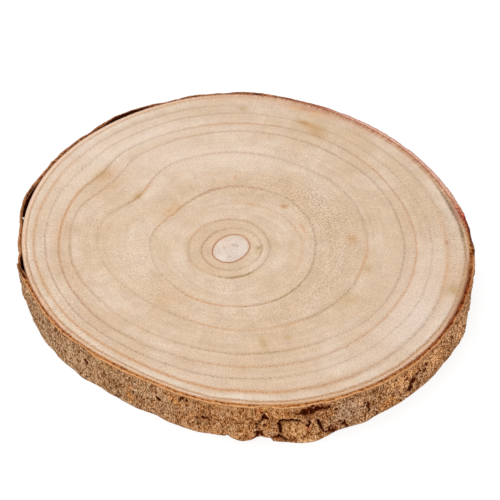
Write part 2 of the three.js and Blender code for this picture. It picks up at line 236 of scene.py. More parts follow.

# Dark worn patches and pits, dented and painted near black as their own dark and painted shade in them:
# angle, height, half width, half height, strength; how they break up
DARK_PATCHES = (
    (289.9, 24.2, 4.2, 3.8, 1.1), (288.3, 25.8, 1.3, 1.5, 1.4), (289.3, 26.8, 1.4, 1.2, 1.5),
    (290.4, 27, 1.4, 1.2, 1.5), (291.3, 26.2, 1.4, 1.4, 1.5), (288.5, 22, 1.5, 1.4, 1.5),
    (289.6, 21.4, 1.6, 1.4, 1.6), (290.8, 21.6, 1.6, 1.4, 1.6), (291.6, 22.8, 1.3, 1.3, 1.4),
    (292.6, 26, 1.5, 1.3, 1.5), (293.6, 25, 1.3, 1.2, 1.4), (294.6, 25.6, 1.3, 1.1, 1.4),
    (287.4, 22.4, 1, 1.2, 0.9), (278.6, 24.4, 1, 1.3, 1.5), (279, 20.4, 1.5, 1.6, 1.8),
    (279.7, 19, 0.8, 0.9, 1.4), (277.5, 16.6, 1.2, 1, 1.5), (276.9, 14.6, 0.9, 0.9, 1.4),
    (277.2, 11.8, 1, 0.9, 1.4), (277.5, 6.6, 2.4, 2.2, 1.9), (278.3, 3.4, 1.6, 1.3, 1.9),
    (276.6, 4.2, 1.2, 1.1, 1.3), (279.1, 13, 1.4, 1.5, 1.4), (295.1, 5.8, 1.5, 2.4, 1.9),
    (296, 2.2, 1.4, 1.6, 1.7), (289.3, 11.8, 0.8, 0.9, 1.5), (289.2, 13.4, 0.9, 0.9, 1.3),
    (286.6, 11.5, 0.7, 2.6, 1.1), (285.2, 13.5, 0.6, 2.5, 1.1), (286.4, 16, 0.6, 0.8, 1.3),
    (290, 15, 0.7, 2, 1.4), (319.4, 13.5, 4.6, 6, 0.45), (316.2, 20.8, 1.8, 1.6, 1.3),
    (318.2, 16, 1.8, 2.4, 1.4), (317.8, 11.5, 2, 2.2, 1.4), (317.6, 8, 1.8, 1.8, 1.4),
    (320.4, 18, 1.8, 1.8, 1.4), (322.4, 15, 1.8, 1.8, 1.4), (322.8, 19.6, 1.8, 1.4, 1.1),
    (304.3, 19.6, 1.2, 2.2, 1.6), (304.9, 15.4, 1.2, 2.2, 1.6), (305, 11.6, 1, 1.6, 1.3),
    (303.2, 20.8, 1.2, 1, 1.2), (298.7, 6.2, 2, 1.8, 1.3), (297.9, 9.4, 1.1, 1, 1.2),
    (299.6, 3.2, 1.3, 1.2, 1.3), (300, 13.2, 1.3, 0.9, 1.3), (297.3, 26.6, 1.5, 0.8, 1.3),
    (296.4, 22.4, 1.1, 0.9, 1.2), (302.9, 7.2, 1.1, 0.9, 1.2), (312.6, 27, 1.4, 1, 1),
    (315.4, 25.6, 1.4, 1.6, 0.9), (333, 12, 2.4, 3, 0.7), (310.4, 24, 1.3, 1.1, 1.6),
    (298.7, 1.6, 1.5, 1, 1.3), (247.2, 1.2, 1.2, 0.8, 1.2), (269.6, 2.8, 0.9, 1.2, 1.2),
    (242.2, 18.6, 0.9, 1, 1.2), (245.2, 1.2, 1, 0.9, 1.1), (263.4, 15.4, 1.6, 1.5, 1),
    (264.6, 14.4, 1.4, 1.6, 0.9), (256.6, 25.6, 1.3, 1.4, 1.4), (257.6, 27.4, 1.6, 0.9, 1.1),
    (258.8, 26.6, 1.2, 1.2, 1.2), (258.5, 22.2, 1.3, 1.2, 1), (261.2, 13.2, 2, 0.9, 0.9),
    (224.5, 17.1, 1.5, 2.2, 1.8), (226.4, 16.3, 1, 1.1, 1.4), (250, 18.2, 1.5, 2.2, 1.5),
    (237.6, 9.4, 1.4, 2, 1.3), (241.8, 15, 1, 1.2, 1.2), (238.4, 15.2, 1.2, 1.6, 1.1),
    (245.6, 21, 1.6, 1.2, 0.8), (198.5, 11.2, 1.4, 1.8, 1.1), (20, 14, 5, 6, 0.8), (75, 10, 4, 7, 0.8),
    (130, 16, 6, 4, 0.8), (160, 9, 3, 6, 0.9),
)
DARK_DEPTH = 0.9
BREAKS = dict(cells=(640, 1.6), even=0.8, uneven=0.9, shows=(0.3, 0.7))
# Loose pits: number, distances from the edges, and ranges of half width, half height and strength
LOOSE_PITS = 260
PIT_EDGES = (1, 2)
PIT_SIZES = ((0.4, 0.9), (0.4, 1.2), (0.5, 1.1))
# Patches of another colour on the bark, with some painted shade and a painted highlight: angle, height,
# half width, half height, colour, strength
BARK_STAINS_AND_PAINTED_LIGHT = (
    (207, 15, 25, 14, 0xC8A07C, 0.4), (221, 14, 15, 12, 0xCEA37A, 0.45), (252.8, 14, 8, 12, 0xCAA27C, 0.5),
    # Painted shade: the two wide dark brown bands on the next line lie just below the top edge, beneath the
    # rim
    (268, 27, 22, 2.5, 0x966236, 0.6), (302, 27, 20, 2.5, 0x925E36, 0.5),
    (278, 26.5, 2.6, 2, 0xC46C30, 0.8), (279.4, 27.4, 1.2, 1, 0xECC468, 0.9),
    (298.8, 17, 9.5, 9, 0xC4A280, 0.75), (306, 25, 4, 3, 0x9C7446, 0.6), (312.5, 18, 4, 4, 0xBE8C74, 0.6),
    (255.2, 23.4, 3.4, 2.6, 0xD6924C, 0.85), (254.3, 26.5, 2.6, 1.2, 0xA44A24, 0.8),
    (241, 17.6, 1.6, 1.6, 0xCE8450, 0.7), (240.5, 9, 2.6, 4.5, 0xCE883E, 0.85),
    (289.3, 11.6, 1.6, 1.6, 0xB03E22, 0.95), (311, 8.5, 6, 4, 0xE49A50, 0.75),
    (313, 22, 9, 6, 0xE8A86C, 0.75), (318, 24, 9, 5, 0xE6A264, 0.7), (327, 18, 9, 10, 0xF0AD70, 0.75),
    (338, 15, 10, 12, 0xECB07C, 0.75), (286.5, 12, 6, 7, 0xE2AA70, 0.75), (283, 24, 6, 3.4, 0xD6945A, 0.8),
    # The pale patch at the flake's foot, second on the next line, is its paler lip with a painted highlight
    # on it
    (287.2, 24.6, 2.4, 3, 0x966438, 0.6), (288, 1.6, 9, 2, 0xE8B480, 0.85),
    (282.6, 1.6, 3.2, 2.2, 0xA4643A, 0.85), (280.8, 6.4, 2.2, 2, 0xE6BC94, 0.8),
    (280.2, 9.6, 1.8, 1.8, 0xDE9C54, 0.6), (290.4, 22.4, 6, 5.2, 0x823E1A, 0.9),
    (293.4, 25.6, 3, 2, 0x703218, 0.7), (290.9, 8, 1.6, 6, 0xEEBE8A, 0.7), (295, 20.5, 3, 3, 0xCC8040, 0.6),
    (298.8, 6, 3.4, 4.4, 0x966C42, 0.7), (292.6, 26.6, 3.2, 2.4, 0x802E18, 0.7),
    (296, 6, 4, 5, 0x924828, 0.5), (233, 26, 2.6, 2.2, 0xCC924E, 0.6), (264, 15, 6, 4, 0x8E582E, 0.5),
)
# Stains on the bark's cut face: angle, share of the way outwards, half length, half share, colour, strength
EDGE_STAINS = (
    (13, 0.3, 6, 0.6, 0xC6705C, 0.8), (11, 0.7, 5, 0.8, 0xBA5A4A, 0.9), (9, 0.7, 6, 0.6, 0x782424, 1),
    (7, 0.2, 6, 0.35, 0xD89664, 0.7), (6.2, 0.85, 6, 0.5, 0x601C1A, 1), (2.8, 0.95, 7, 0.5, 0x40160E, 1),
    (358.5, 0.9, 3.5, 0.4, 0x562812, 0.8), (347, 0.35, 10, 0.5, 0x863814, 0.8),
    (341, 0.35, 10, 0.45, 0x8C441A, 0.7), (352, 0.2, 2.6, 0.4, 0x541C04, 0.9),
    (348.6, 0.25, 2.2, 0.35, 0x5C2004, 0.8), (345.2, 0.25, 2.2, 0.4, 0x5C2204, 0.9),
    (342, 0.2, 2.6, 0.4, 0x461202, 0.9), (338, 0.25, 2.4, 0.4, 0x5C2204, 0.9),
    (332.7, 0.3, 3, 0.4, 0x541C02, 0.9), (62, 0.3, 9, 0.6, 0xB0705A, 0.5), (67, 0.3, 9, 0.7, 0x924C34, 0.8),
    (71, 0.4, 9, 0.9, 0x98583E, 0.75), (75.5, 0.4, 8, 0.6, 0x7C3E24, 0.85),
    (79, 0.3, 6, 0.6, 0xA0684E, 0.6), (83.6, 0.3, 3.5, 0.7, 0x341004, 1),
    (86.4, 0.4, 5, 0.6, 0x80503A, 0.7), (89.4, 0.4, 5, 0.6, 0x744432, 0.8),
)

# Relief of the bark, coarse to fine: cells round the trunk, cell height, movement; how its fine part fades at
# the bottom and at the top
RELIEF = ((110, 24, 0.5), (58, 10, 0.6), (430, 5, 0.28), (860, 2.6, 0.3))
RELIEF_FADES = ((-1, 3), (-1.5, 3))
# Rounding of the bark's outer edges at the foot and at the top: movement and height
ROUNDING = (
    ((0.8, 0.8, 0.8, 0.8, 0.8, 0.8, 0.8, 0.4, 0.3, 1.1, 1, 0.7), 2.4),
    ((0.3, 0.3, 0.3, 0.3, 0.3, 0.3, 0.3, 0.3, 0.4, 0.9, 1, 0.4), 2),
)
# Small scales that the bark has broken into: their cells, and larger ones that bend their columns and rows
SCALE_CELLS = (250, 4.6)
SCALE_BENDS = ((400, 4), (300, 5))
SCALES = dict(groove=0.5, lift=0.3, bend=0.35, stray=0.4, edges=(0.1, 1.1))
# How scaly the bark is
SCALINESS = (0.8, 0.7, 0.7, 0.8, 0.7, 0.7, 0.6, 0.4, 0.4, 0.3, 0.9, 1)
# Ragged top edge, and fibres that stand up from the cut face
FRAY = dict(cells=90, depth=0.5)
TOP_FIBRES = dict(cells=(700, 9), across=40, depth=0.25)
# Factors of the repeatable scatter, and shifts that give other values for the same cell
SCATTER = (127.1, 311.7, 43758.5)
SHIFTS = dict(height=50, centre=7, value=3, level=5)

# How warm the bark is, from grey to orange brown, and where its smoother red inner layer is bare
WARMTH = (0.5, 0.5, 0.6, 0.5, 0.5, 0.55, 0.4, 0.28, 0.36, 0.8, 0.75, 0.68)
BARE_BARK = dict(at=40, half_width=36, steepness=2.4)
BARE_SMOOTHNESS = 0.6
# How dark and how rusty the bark's cut face is, and how upright and how coarse the outer face's fibres are
DARK_BAND = (0.2, 0.1, 0.3, 0.7, 0.95, 0.8, 0.4, 0.05, 0, 0, 0, 0.05)
RUST = (0.4, 0.2, 0.1, 0.2, 0.3, 0.3, 0.4, 0.5, 0.1, 0, 0.1, 1)
UPRIGHT = (0.3, 0.4, 0.4, 0.4, 0.4, 0.4, 0.35, 0.5, 0.52, 0.75, 0.1, 0.05)
COARSENESS = (0.9, 0.8, 0.8, 0.8, 0.8, 0.9, 1.2, 1.1, 0.7, 0.6, 0.85, 0.9)
# Where the dark layer of the cut face lies near the outside, and its place across the face
TURNED_LAYERS = dict(at=5, half_width=11, steepness=1.5)
TURNED_PLACE = 0.85

# Fineness of the pieces, and step along the outline that finds the pith
OUTLINE_STEP = 0.5
WOOD_COLUMNS = 400
WOOD_TOP_ROWS = 140
WOOD_SIDE_ROWS = 8
WOOD_UNDER_ROWS = 50
BARK_COLUMNS = 1440
BARK_OUTER_ROWS = 44
BARK_TOP_ROWS = 7
BARK_UNDER_ROWS = 4
BARK_INNER_HEIGHTS = (0.985, 0.93, 0.8, 0.5, 0.2)


def smoothstep(value, low, high):
    share = np.clip((value - low) / (high - low), 0, 1)
    return share * share * (3 - 2 * share)


def lerp(start, end, share):
    return start + (end - start) * share


def around(values, angle):
    """Smooth closed curve through values at equal steps round the trunk."""
    values = np.asarray(values, float)
    count = len(values)
    place = np.mod(angle, TURN) / TURN * count
    index = np.floor(place).astype(int)
    share = place - index
    before, start, end, after = (values[(index + step) % count] for step in (-1, 0, 1, 2))
    slope_in = (end - before) / 2
    slope_out = (after - start) / 2
    rise = end - start
    square = 3 * rise - 2 * slope_in - slope_out
    cube = slope_in + slope_out - 2 * rise
    return start + share * (slope_in + share * (square + share * cube))


def share_around(values, angle):
    return np.clip(around(values, angle), 0, 1)


def angle_from(angle, middle):
    return np.mod(angle - middle + TURN / 2, TURN) - TURN / 2


def circle(angle):
    turn = np.radians(angle)
    return np.cos(turn), np.sin(turn)


def bump(distance, half_width):
    """One at zero distance, falling smoothly to zero at the half width."""
    share = np.minimum(np.abs(distance) / half_width, 1)
    return (1 + np.cos(np.pi * share)) / 2


def bumps_at(angle, rows):
    """Sum of bumps round the trunk, from rows of angle, half width and size."""
    return sum(size * bump(angle_from(angle, at), half) for at, half, size in rows)


def plateau(angle, at, half_width, steepness):
    """A bump round the trunk with steeper sides and a flat top at one."""
    return np.minimum(steepness * bump(angle_from(angle, at), half_width), 1)


def cell_value(column, row):
    """Repeatable value from -1 to 1 for each cell of the bark."""
    wave = np.sin(column * SCATTER[0] + row * SCATTER[1]) * SCATTER[2]
    return 2 * (wave - np.floor(wave)) - 1


def bark_noise(angle, height, cells, cell_height):
    across = np.mod(angle, TURN) / TURN * cells
    up = height / cell_height
    column = np.floor(across)
    row = np.floor(up)
    share_across = smoothstep(across - column, 0, 1)
    share_up = smoothstep(up - row, 0, 1)

    def at_row(level):
        return lerp(cell_value(column, level), cell_value(np.mod(column + 1, cells), level), share_across)

    return lerp(at_row(row), at_row(row + 1), share_up)


# Place of the pith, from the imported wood's box
wood_low, wood_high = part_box("wood_disc")
THICKNESS = (wood_high.z - wood_low.z) / MM
_angle = np.arange(0, TURN, OUTLINE_STEP)
_outline = around(WOOD_RADII, _angle) * np.array(circle(_angle))
PITH = np.array((wood_low + wood_high)[:2]) / 2 / MM - (_outline.min(1) + _outline.max(1)) / 2


def to_points(angle, radius, height):
    """Rows of points in metres from angles, radii and heights around the pith."""
    angle, radius, height = np.broadcast_arrays(angle, radius, height)
    x, y = circle(angle)
    points = np.stack([PITH[0] + radius * x, PITH[1] + radius * y, height], -1)
    return points.reshape(-1, 3) * MM


def add_object(name, data):
    made = bpy.data.objects.new(name, data)
    bpy.context.scene.collection.objects.link(made)
    return made


def make_piece(name, points, faces, material, node):
    mesh = bpy.data.meshes.new(name)
    mesh.from_pydata(points.tolist(), [], faces)
    mesh.update()
    mesh.materials.append(material)
    mesh.shade_smooth()
    piece = add_object(name, mesh)
    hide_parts(node)
    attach(piece, "root")
    return piece


def add_values(piece, name, values):
    """Stores a number, vector or colour for each point of the piece's mesh."""
    values = np.ascontiguousarray(values, np.float32)
    kinds = {1: ("FLOAT", "value"), 3: ("FLOAT_VECTOR", "vector"), 4: ("FLOAT_COLOR", "color")}
    kind, field = kinds[values.shape[1]]
    layer = piece.data.attributes.new(name, kind, "POINT")
    layer.data.foreach_set(field, values.ravel())


def ring_faces(rows, columns, closed):
    """Quads between rows of points, each row a closed ring; closed joins the last row to the first."""
    faces = []
    for row in range(rows if closed else rows - 1):
        low = row * columns
        high = (row + 1) % rows * columns
        for column in range(columns):
            after = (column + 1) % columns
            faces.append((low + column, low + after, high + after, high + column))
    return faces


# Materials
def linear(shade):
    """Linear red, green and blue of an sRGB colour."""
    values = [(shade >> shift & 255) / 255 for shift in (16, 8, 0)]
    return [value / 12.92 if value <= 0.04045 else ((value + 0.055) / 1.055) ** 2.4 for value in values]


class Shader:
    """A principled material, with short ways to add nodes to it."""

    def __init__(self, name):
        self.material = bpy.data.materials.new(name)
        self.material.use_nodes = True
        self.tree = self.material.node_tree
        self.surface = self.tree.nodes["Principled BSDF"]
        where = self.node("TexCoord").outputs["Object"]
        self.place = self.stretch(where, 1 / MM, 1 / MM, 1 / MM)

    def fill(self, node, inputs):
        """Links other nodes' outputs to a node's sockets, or sets their numbers, vectors or sRGB colours."""
        for name, value in dict(inputs).items():
            socket = node.inputs[name]
            if isinstance(value, bpy.types.NodeSocket):
                self.tree.links.new(value, socket)
            elif socket.type == "RGBA" and isinstance(value, int):
                socket.default_value = (*linear(value), 1)
            else:
                socket.default_value = value

    def node(self, kind, inputs=(), **settings):
        made = self.tree.nodes.new("ShaderNode" + kind)
        for key, value in settings.items():
            setattr(made, key, value)
        self.fill(made, inputs)
        return made

    def value(self, name, output="Fac"):
        """A value that the mesh's points hold."""
        return self.node("Attribute", attribute_name=name).outputs[output]

    def paint(self, name):
        """A colour that the mesh's points hold, and its strength."""
        return self.value(name, "Color"), self.value(name, "Alpha")

    def math(self, operation, *values, clamp=False):
        return self.node("Math", enumerate(values), operation=operation, use_clamp=clamp).outputs[0]

    def plus(self, first, second, clamp=False):
        return self.math("ADD", first, second, clamp=clamp)

    def times(self, first, second, clamp=False):
        return self.math("MULTIPLY", first, second, clamp=clamp)

    def fit(self, value, factor, offset):
        return self.math("MULTIPLY_ADD", value, factor, offset)

    def stretch(self, vector, *scale):
        return self.node("VectorMath", {0: vector, 1: scale}, operation="MULTIPLY").outputs[0]

    def move(self, vector, other):
        return self.node("VectorMath", {0: vector, 1: other}, operation="ADD").outputs[0]

    def noise(self, vector, scale=1.0, detail=2.0, roughness=0.5, swirl=0.0):
        inputs = dict(Vector=vector, Scale=scale, Detail=detail, Roughness=roughness, Distortion=swirl)
        return self.node("TexNoise", inputs).outputs["Fac"]

    def ramp(self, value, *stops):
        """Ramp through stops, each a position with an sRGB colour, a linear colour or a grey."""
        made = self.node("ValToRGB", {0: value})
        elements = made.color_ramp.elements
        while len(elements) < len(stops):
            elements.new(0.5)
        for element, (position, shade) in zip(elements, stops):
            if isinstance(shade, int):
                shade = linear(shade)
            elif isinstance(shade, float):
                shade = (shade, shade, shade)
            element.position = position
            element.color = (*shade, 1)
        return made.outputs["Color"]

    def mix(self, factor, first, second, blend="MIX"):
        inputs = {0: factor, 6: first, 7: second}
        return self.node("Mix", inputs, data_type="RGBA", blend_type=blend).outputs[2]

    def bump(self, height, strength, distance):
        inputs = dict(Height=height, Strength=strength, Distance=distance * MM)
        self.fill(self.surface, {"Normal": self.node("Bump", inputs).outputs["Normal"]})

    def finish(self, shade, roughness, specular):
        self.fill(self.surface, {"Base Color": shade, "Roughness": roughness, "Specular IOR Level": specular})
        return self.material


def line_stops(fades, span):
    """Stops of a ramp that is one on each ring and fades to zero on both sides of it."""
    stops = []
    for radius, (inner, outer) in zip(MEAN_RADII[1:], fades):
        stops += [((radius - inner) / span, 0.0), (radius / span, 1.0), ((radius + outer) / span, 0.0)]
    return stops


def wood_material():
    wood = Shader("wood_end_grain")
    place, value, noise = wood.place, wood.value, wood.noise
    ramp, mix, plus, times, fit = wood.ramp, wood.mix, wood.plus, wood.times, wood.fit
    span = MEAN_RADII[-1] + RAMP_MARGIN
    at = [radius / span for radius in MEAN_RADII]
    ring = value("ring")
    spoke = value("spoke", "Vector")
    tint, bold = wood.paint("ink")
    pore = value("pore")
    fringe = value("fringe")

    # Distance from the pith in growth layers, uneven as the layers are, and the grain of the sawn wood
    wobble = fit(noise(place, 0.05, 3, 0.55), 2.4, -1.2)
    share = wood.math("DIVIDE", plus(ring, wobble), span)
    pits = noise(place, 0.85, 2, 0.6)
    grain = noise(wood.move(place, (31, 17, 5)), 1.6, 1, 0.6)
    holes = noise(wood.move(place, (7, 53, 11)), 1.4, 1, 0.6)
    layers = wood.node("CombineXYZ", {2: times(share, 0.42 * span)}).outputs[0]
    layers = noise(wood.move(wood.stretch(spoke, 1.5, 1.5, 0), layers), 1, 4, 0.62)
    rays = noise(wood.stretch(spoke, 150, 150, 0.03))
    clouds = noise(place, 0.03, 4, 0.6)
    drift = noise(place, 0.1)

    # Base colour from the pith outwards, clouded, layered and rayed
    shade = ramp(
        wood.math("DIVIDE", ring, span),
        (0.0, 0xE3D3C7), (at[0] - 0.002, 0xE3D3C7), (at[0] + 0.002, 0xD8BA9C), (at[2], 0xD9BDA0),
        (at[2] + 0.03, 0xDFC8B0), (at[4], 0xDCC2A8), (at[5], 0xDBC0A5), (at[7], 0xDABEA3),
        (at[9], 0xDDC5AD), (at[10] - 0.008, 0xE2CEBA), (at[10], 0xDCB08A), (0.985, 0xDAA87E),
    )
    for texture, start, end, colour in (
        (clouds, (0.42, 0.0), (0.68, 0.6), 0xD4B492), (clouds, (0.32, 0.5), (0.48, 0.0), 0xE7D4C1),
        (layers, (0.45, 0.0), (0.75, 0.4), 0xCCA884), (layers, (0.25, 0.4), (0.45, 0.0), 0xE9D6C3),
        (rays, (0.5, 0.0), (0.75, 0.25), 0xCAAA8A), (rays, (0.25, 0.25), (0.45, 0.0), 0xE9D6C3),
    ):
        shade = mix(ramp(texture, start, end), shade, colour)
    shade = mix(1.0, shade, ramp(drift, (0.3, 0.945), (0.7, 1.055)), "MULTIPLY")
    shade = mix(value("pale"), shade, 0xE8C7AC)
    stain, stained = wood.paint("stain")
    shade = mix(stained, shade, stain)

    # Soft dark zone and dotted line where each year's growth ends
    zones = ramp(share, *line_stops(RING_FADES, span))
    zones = times(zones, times(bold, 0.8))
    shade = mix(zones, shade, mix(0.4, tint, 0xDEC4A8))
    lines = ramp(share, *line_stops([LINE_FADE] * len(RINGS), span))
    lines = plus(plus(lines, fit(pits, LINE_GRAIN, -LINE_START)), bold)
    lines = times(times(lines, 1.1, clamp=True), 0.8)
    shade = mix(lines, shade, tint)

    # Brown edge of the pith
    rim = plus(ring, fit(pits, 0.8, -0.4))
    rim = wood.math("ABSOLUTE", wood.math("SUBTRACT", rim, MEAN_RADII[0]))
    halo = ramp(times(rim, 0.5), (0.1, 0.45), (0.9, 0.0))
    shade = mix(halo, shade, 0xD29872)
    rim = times(ramp(rim, (0.1, 0.95), (0.65, 0.0)), bold)
    shade = mix(rim, shade, 0x925A32)

    # Pores, fine grain, and the fringe of stained fibres at the edge
    open_pores = times(ramp(holes, (0.57, 0.0), (0.71, 0.6)), pore)
    shade = mix(open_pores, shade, 0x96704C)
    grit = times(fit(grain, 1.4, -0.7), fit(pore, 0.4, 0.42))
    shade = mix(1.0, shade, plus(grit, 0.84), "MULTIPLY")
    hairs = fit(rays, 2.4, fit(grain, 2.4, -2.4))
    hairs = plus(hairs, fit(clouds, 1.2, -0.6))
    hairs = ramp(plus(fringe, hairs), (0.5, 0.0), (0.95, 0.9))
    shade = mix(times(hairs, fringe), shade, 0x984E38)

    relief = plus(noise(place, 1.6, 3), times(lines, -0.6))
    wood.bump(relief, 0.3, 0.14)
    return wood.finish(shade, ramp(layers, (0.0, 0.62), (1.0, 0.8)), 0.25)


def bark_material():
    bark = Shader("bark_fibres")
    place, value, noise, stretch = bark.place, bark.value, bark.noise, bark.stretch
    ramp, mix, plus, times, fit = bark.ramp, bark.mix, bark.plus, bark.times, bark.fit
    depth, bare, rust, upright = (value(name) for name in ("depth", "bare", "rust", "upright"))
    stain, stained = bark.paint("stain")
    edge, edged = bark.paint("edge")

    # Fibres, lumps and patches of the outer face
    moved = bark.move(place, (11.3, 4.7, 2.1))
    tall = stretch(place, 1, 1, 0.6)
    grains = noise(stretch(moved, 1, 1, 0.45), 1.25, 2, 0.6, 1.6)
    strands = noise(stretch(place, 1, 1, 0.3), 1.9, 2, 0.6)
    fibres = mix(upright, grains, strands)
    lumps = noise(tall, 0.55, 2, 0.6)
    patches = noise(tall, 0.16, 3, 0.6)
    flecks = noise(tall, 0.95, 2, 0.6)
    hues = noise(stretch(place, 1, 1, 0.5), 0.33, 3, 0.6)
    mottle = times(plus(fibres, -0.5), fit(upright, -3.6, 5.4))
    coarse = times(plus(lumps, -0.5), fit(value("rough"), 1.1, 0.2))
    mottle = plus(plus(mottle, coarse), fit(patches, 0.6, 0.2))
    mottle = fit(value("tone"), 0.1, mottle)
    mottle = fit(value("groove"), -0.26, mottle)
    grey = ramp(
        mottle, (0.14, 0x4C2408), (0.34, 0x865F3A), (0.48, 0xAB845F), (0.64, 0xC29D78), (0.9, 0xE6C6A4),
    )
    brown = ramp(
        mottle, (0.14, 0x561E00), (0.34, 0x8F5424), (0.48, 0xB57946), (0.64, 0xCD925E), (0.9, 0xEEB886),
    )
    warm = plus(value("warm"), fit(hues, 2.2, -1.1), clamp=True)
    outer = mix(warm, grey, brown)
    gain = ramp(
        mottle, (0.14, (0.22, 0.08, 0.02)), (0.34, (0.58, 0.5, 0.4)), (0.5, 0.94), (0.9, (1.35, 1.55, 1.8)),
    )
    # The bark's stains, with painted shade below the rim at the front and a painted highlight on the flake's
    # lip
    outer = mix(stained, outer, mix(1.0, stain, gain, "MULTIPLY"))
    clusters = ramp(patches, (0.42, 1.0), (0.6, 0.25))
    specks = times(ramp(flecks, (0.58, 0.0), (0.68, 0.85)), clusters)
    outer = mix(specks, outer, 0x622606)

    # Layers of the cut face, from the wood outwards, broken into dashes along the edge
    dashes = noise(stretch(value("along", "Vector"), 0.5, 0.5, 0.8), 1, 2, 0.6)
    ragged = plus(depth, fit(dashes, 0.5, -0.25))
    pale = ramp(
        ragged, (0.0, 0xE0B288), (0.06, 0xD09C6E), (0.18, 0xB27846), (0.34, 0x9E6232), (0.5, 0xAA6E3C),
        (0.62, 0xC28856), (0.76, 0xDAA676), (0.88, 0xC89466), (1.0, 0x966640),
    )
    rusty = ramp(
        ragged, (0.0, 0xB07448), (0.1, 0x9C5C30), (0.2, 0x8A461E), (0.42, 0x904C22), (0.56, 0xB27648),
        (0.7, 0xD09666), (0.86, 0xC0885C), (1.0, 0x8C5C3A),
    )
    dark = ramp(
        ragged, (0.0, 0x481C0C), (0.35, 0x542412), (0.55, 0x804A2E), (0.8, 0x9E684A), (1.0, 0xA07056),
    )
    raw = ramp(
        ragged, (0.0, 0xD0A084), (0.3, 0xD6A68C), (0.6, 0xD0A28E), (0.85, 0xBE9082), (1.0, 0x986E66),
    )
    cut = mix(value("band"), mix(rust, pale, rusty), dark)
    cut = mix(bare, cut, raw)
    layer = ramp(depth, (0.0, 0.6), (0.15, 1.0), (0.55, 1.0), (0.75, 0.1))
    deep = times(ramp(dashes, (0.38, 1.0), (0.47, 0.0)), layer)
    deep = times(deep, fit(bare, -0.55, 1.0))
    fleck = mix(bare, mix(rust, 0x683010, 0x4E1404), 0xA66250)
    cut = mix(deep, cut, fleck)
    light = times(ramp(dashes, (0.53, 0.0), (0.62, 0.65)), layer)
    light = times(light, fit(rust, -0.8, 1.0))
    cut = mix(light, cut, mix(bare, 0xD09256, 0xE4BCA4))
    spots = mix(1.0, edge, ramp(dashes, (0.35, 0.4), (0.65, 1.5)), "MULTIPLY")
    cut = mix(edged, cut, spots)
    shade = mix(value("face"), outer, cut)

    # Dark cracks, pits and gaps with crisp edges: the bark's own dark with painted shade in the cracks and
    # pits, and painted shadow on the inner face behind lifted bark and in the splits of the top face
    crisp = plus(value("dark"), fit(fibres, 1.2, -0.6))
    crisp = plus(crisp, fit(lumps, 0.8, -0.4))
    shade = mix(ramp(crisp, (0.25, 0.0), (0.4, 0.55)), shade, 0x742E10)
    pit_and_shade = ramp(fibres, (0.36, 0x1E0200), (0.5, 0x360C04), (0.66, 0x763818))
    shade = mix(ramp(crisp, (0.45, 0.0), (0.62, 1.0)), shade, pit_and_shade)

    bark.bump(plus(fibres, times(flecks, -0.7)), 0.8, 0.6)
    return bark.finish(shade, ramp(fibres, (0.2, 0.98), (0.8, 0.8)), 0.0)


# Wood
def ring_coordinate(angle, radius):
    """Mean radius of the growth layer that passes through each point."""
    edges = [np.zeros_like(angle)]
    for radii, (deep, half) in zip(EDGE_RADII, EDGE_DENTS):
        edges.append(around(radii, angle) - deep * bump(angle_from(angle, FLUTE_AT), half))
    means = [0.0, *MEAN_RADII]
    columns = [np.interp(far, edge, means) for far, edge in zip(radius.T, np.array(edges).T)]
    return np.stack(columns, 1)


def ink_values(angle, ring):
    """Tint and boldness that a ring's line has at each point."""
    inks = []
    for line in (PITH_INK, *RING_INKS):
        places, tints, boldness = zip(*line)
        channels = (*zip(*map(linear, tints)), boldness)
        inks.append([np.interp(angle, places, channel, period=TURN) for channel in channels])
    inks = np.array(inks)
    columns = [
        [np.interp(ring[:, k], MEAN_RADII[:-1], inks[:, channel, k]) for channel in range(4)]
        for k in range(len(angle))
    ]
    return np.moveaxis(np.array(columns), (0, 1, 2), (1, 2, 0))


def spot_share(across, up, half_width, half_height):
    """Soft oval spot: one at its middle, fading outwards."""
    return np.exp(-((across / half_width) ** 2 + (up / half_height) ** 2))


def arc_from(angle, at):
    """Length along the wood's edge from a place round the trunk."""
    return np.radians(angle_from(angle, at)) * around(WOOD_RADII, np.array(at))


def stain_values(distance_from, angle, place, stains):
    """Colour and strength of soft stains at each point, later ones over earlier ones."""
    shade = np.zeros(angle.shape + (3,))
    alpha = np.full(angle.shape, LEAST_STAIN)
    for at, middle, half, width, rgb, strength in stains:
        cover = strength * spot_share(distance_from(angle, at), place - middle, half, width)
        total = cover + alpha * (1 - cover)
        part = (cover / total)[..., None]
        shade = shade * (1 - part) + np.array(linear(rgb)) * part
        alpha = total
    return np.concatenate([shade, alpha[..., None]], -1).reshape(-1, 4)


def splinter_points():
    """Corners of the splinter, a small block that tapers from its root in the wood's edge to its tip."""
    edge = around(WOOD_RADII, np.array(SPLINTER["at"]))
    top = THICKNESS - SPLINTER["low"]
    corners = []
    for radius, taper in ((edge - SPLINTER["root"], 1.0), (edge + SPLINTER["reach"], SPLINTER["tip"])):
        half = np.degrees(SPLINTER["width"] * taper / 2 / radius)
        low = top - SPLINTER["height"] * taper
        for side, height in ((-half, low), (half, low), (half, top), (-half, top)):
            corners.append((SPLINTER["at"] + side, radius, height))
    return to_points(*np.array(corners).T)


